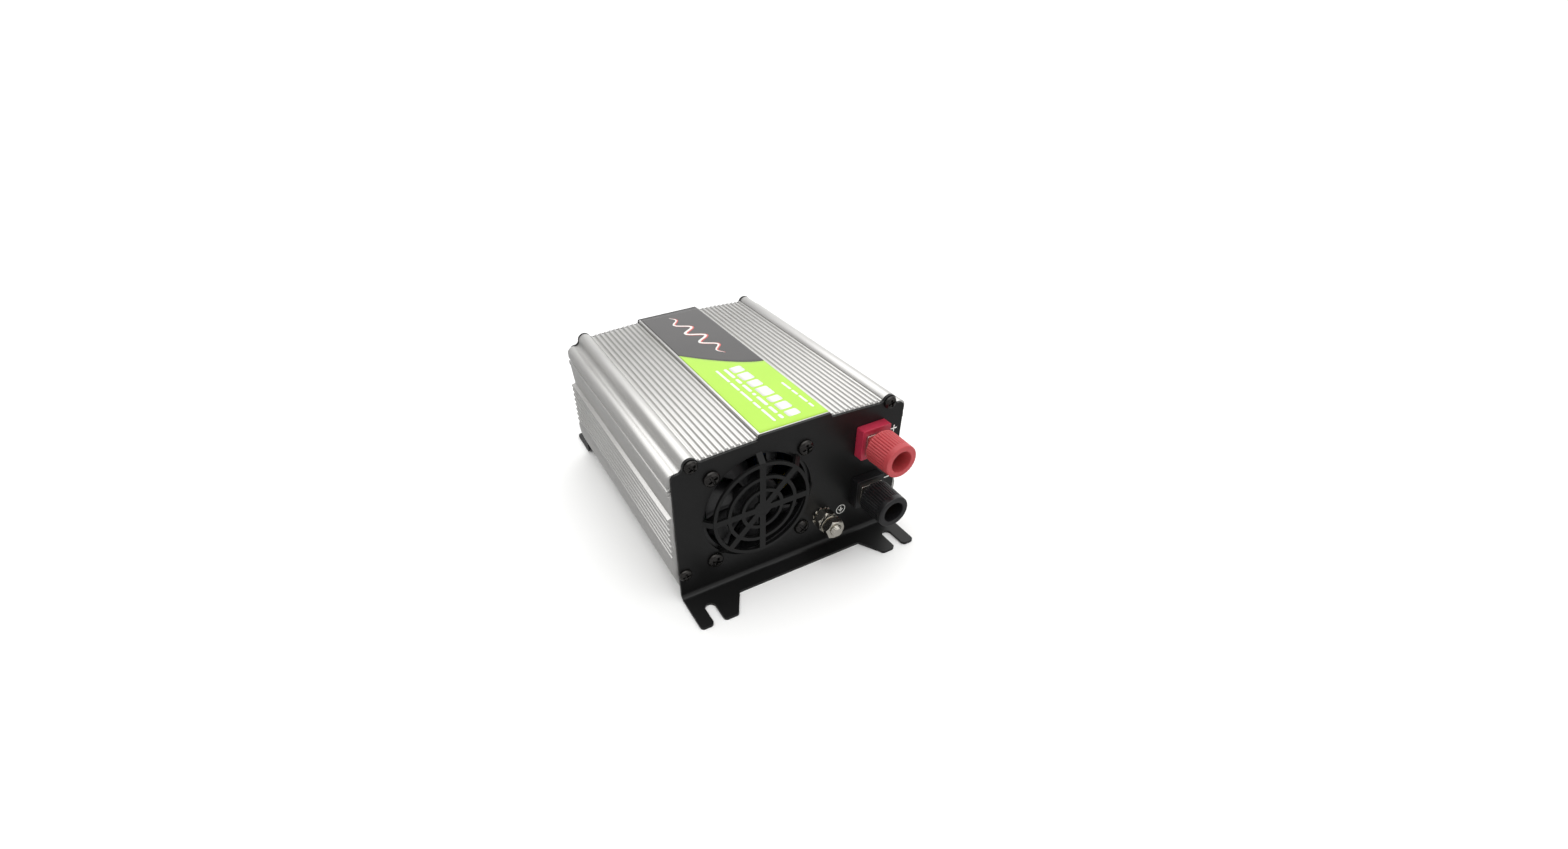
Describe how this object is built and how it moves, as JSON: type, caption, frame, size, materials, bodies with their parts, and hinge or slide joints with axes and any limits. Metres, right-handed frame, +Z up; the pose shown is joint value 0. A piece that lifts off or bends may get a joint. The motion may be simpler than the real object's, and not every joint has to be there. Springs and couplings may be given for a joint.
{
  "type": "power inverter",
  "caption": "DC to AC power inverter in a ribbed aluminium case, with slotted-foot end plates, a fan and screw-cap terminals at one end, and outlets and a rocker switch at the other.",
  "frame": {"origin": "centre of the bounding box, on the plane that the feet stand on", "axes": "+X to the right and +Y away as seen facing the DC end with the fan and terminals, +Z up"},
  "size_m": [0.134, 0.1964, 0.0835],
  "materials": {
    "anodised_aluminium": "bead-blasted, clear anodised",
    "printed_label": "printed polyester film",
    "powder_coated_steel": "fine-textured semi-gloss black powder coat",
    "black_screws": "black zinc",
    "black_fan_plastic": "moulded PBT",
    "copper_winding": "enamelled wire",
    "zinc_hardware": "zinc plated",
    "red_plastic": "moulded nylon, satin",
    "black_plastic": "moulded nylon, satin",
    "brass": "machined",
    "nickel_plate": "dull nickel plate",
    "white_nylon": "moulded",
    "green_lens": "translucent lens",
    "red_lens": "translucent lens",
    "green_board": "solder mask",
    "ferrite": "sintered ferrite",
    "component_black": "moulded epoxy",
    "capacitor_sleeve": "shrunk sleeve",
    "fuse_yellow": "translucent plastic",
    "plain_aluminium": "mill finish",
    "red_wire": "PVC insulation",
    "black_wire": "PVC insulation",
    "green_wire": "PVC insulation"
  },
  "bodies": {
    "chassis": {"top_shell": "anodised_aluminium", "bottom_shell": "anodised_aluminium", "label": "printed_label", "front_plate": "powder_coated_steel", "rear_plate": "powder_coated_steel", "front_case_screws": "black_screws", "rear_case_screws": "black_screws", "fan_frame": "black_fan_plastic", "fan_stator": "copper_winding", "fan_screws": "black_screws", "fan_nuts": "zinc_hardware", "red_terminal_block": "red_plastic", "red_terminal_stud": "brass", "black_terminal_block": "black_plastic", "black_terminal_stud": "brass", "terminal_insulators": "white_nylon", "terminal_nuts": "brass", "ground_stud": "nickel_plate", "ground_star_washer": "nickel_plate", "ground_fixed_nut": "nickel_plate", "ground_inner_nut": "nickel_plate", "outlet_1": "black_plastic", "outlet_2": "black_plastic", "outlet_tabs": "brass", "switch_housing": "black_plastic", "power_lamp": "green_lens", "fault_lamp": "red_lens", "circuit_board": "green_board", "board_standoffs": "brass", "board_screws": "zinc_hardware", "transformer_core": "ferrite", "transformer_winding": "copper_winding", "transformer_bobbin": "component_black", "input_capacitors": "capacitor_sleeve", "bulk_capacitor": "capacitor_sleeve", "output_choke": "copper_winding", "control_card": "green_board", "buzzer": "component_black", "fuse_holders": "component_black", "blade_fuses": "fuse_yellow", "left_heat_bar": "plain_aluminium", "right_heat_bar": "plain_aluminium", "left_transistors": "component_black", "right_transistors": "component_black", "transistor_screws": "zinc_hardware", "red_lead": "red_wire", "black_lead": "black_wire", "ground_lead": "green_wire", "fan_lead": "red_wire"},
    "fan_rotor": {"fan_rotor": "black_fan_plastic"},
    "red_clamp": {"red_clamp_plate": "nickel_plate"},
    "red_cap": {"red_cap": "red_plastic", "red_cap_insert": "brass"},
    "black_clamp": {"black_clamp_plate": "nickel_plate"},
    "black_cap": {"black_cap": "black_plastic", "black_cap_insert": "brass"},
    "ground_washers": {"ground_loose_washers": "nickel_plate"},
    "ground_nut": {"ground_nut": "nickel_plate"},
    "rocker": {"switch_rocker": "black_plastic"}
  },
  "joints": [
    {"name": "fan_spin", "type": "hinge", "parent": "chassis", "child": "fan_rotor", "pos_m": [-0.02, -0.0637, 0.044], "axis": [0, -1, 0], "continuous": true},
    {"name": "red_cap_turn", "type": "hinge", "parent": "red_clamp", "child": "red_cap", "pos_m": [0.044, -0.0912, 0.0616], "axis": [0, -1, 0], "range_deg": [0, 2880]},
    {"name": "red_clamp_slide", "type": "slide", "parent": "chassis", "child": "red_clamp", "axis": [0, -1, 0], "range_m": [0, 0.0081]},
    {"name": "black_cap_turn", "type": "hinge", "parent": "black_clamp", "child": "black_cap", "pos_m": [0.044, -0.0912, 0.0304], "axis": [0, -1, 0], "range_deg": [0, 2880]},
    {"name": "black_clamp_slide", "type": "slide", "parent": "chassis", "child": "black_clamp", "axis": [0, -1, 0], "range_m": [0, 0.0081]},
    {"name": "ground_nut_turn", "type": "hinge", "parent": "ground_washers", "child": "ground_nut", "pos_m": [0.0178, -0.0832, 0.021], "axis": [0, -1, 0], "range_deg": [0, 1440]},
    {"name": "ground_washer_slide", "type": "slide", "parent": "chassis", "child": "ground_washers", "axis": [0, -1, 0], "range_m": [0, 0.0041]},
    {"name": "power_switch_tilt", "type": "hinge", "parent": "chassis", "child": "rocker", "pos_m": [-0.042, 0.0763, 0.056], "axis": [1, 0, 0], "range_deg": [0, 24]}
  ],
  "couplings": [
    {"joint": "red_clamp_slide", "follows": "red_cap_turn", "m_per_rad": 0.00015915},
    {"joint": "black_clamp_slide", "follows": "black_cap_turn", "m_per_rad": 0.00015915},
    {"joint": "ground_washer_slide", "follows": "ground_nut_turn", "m_per_rad": 0.00015915}
  ]
}
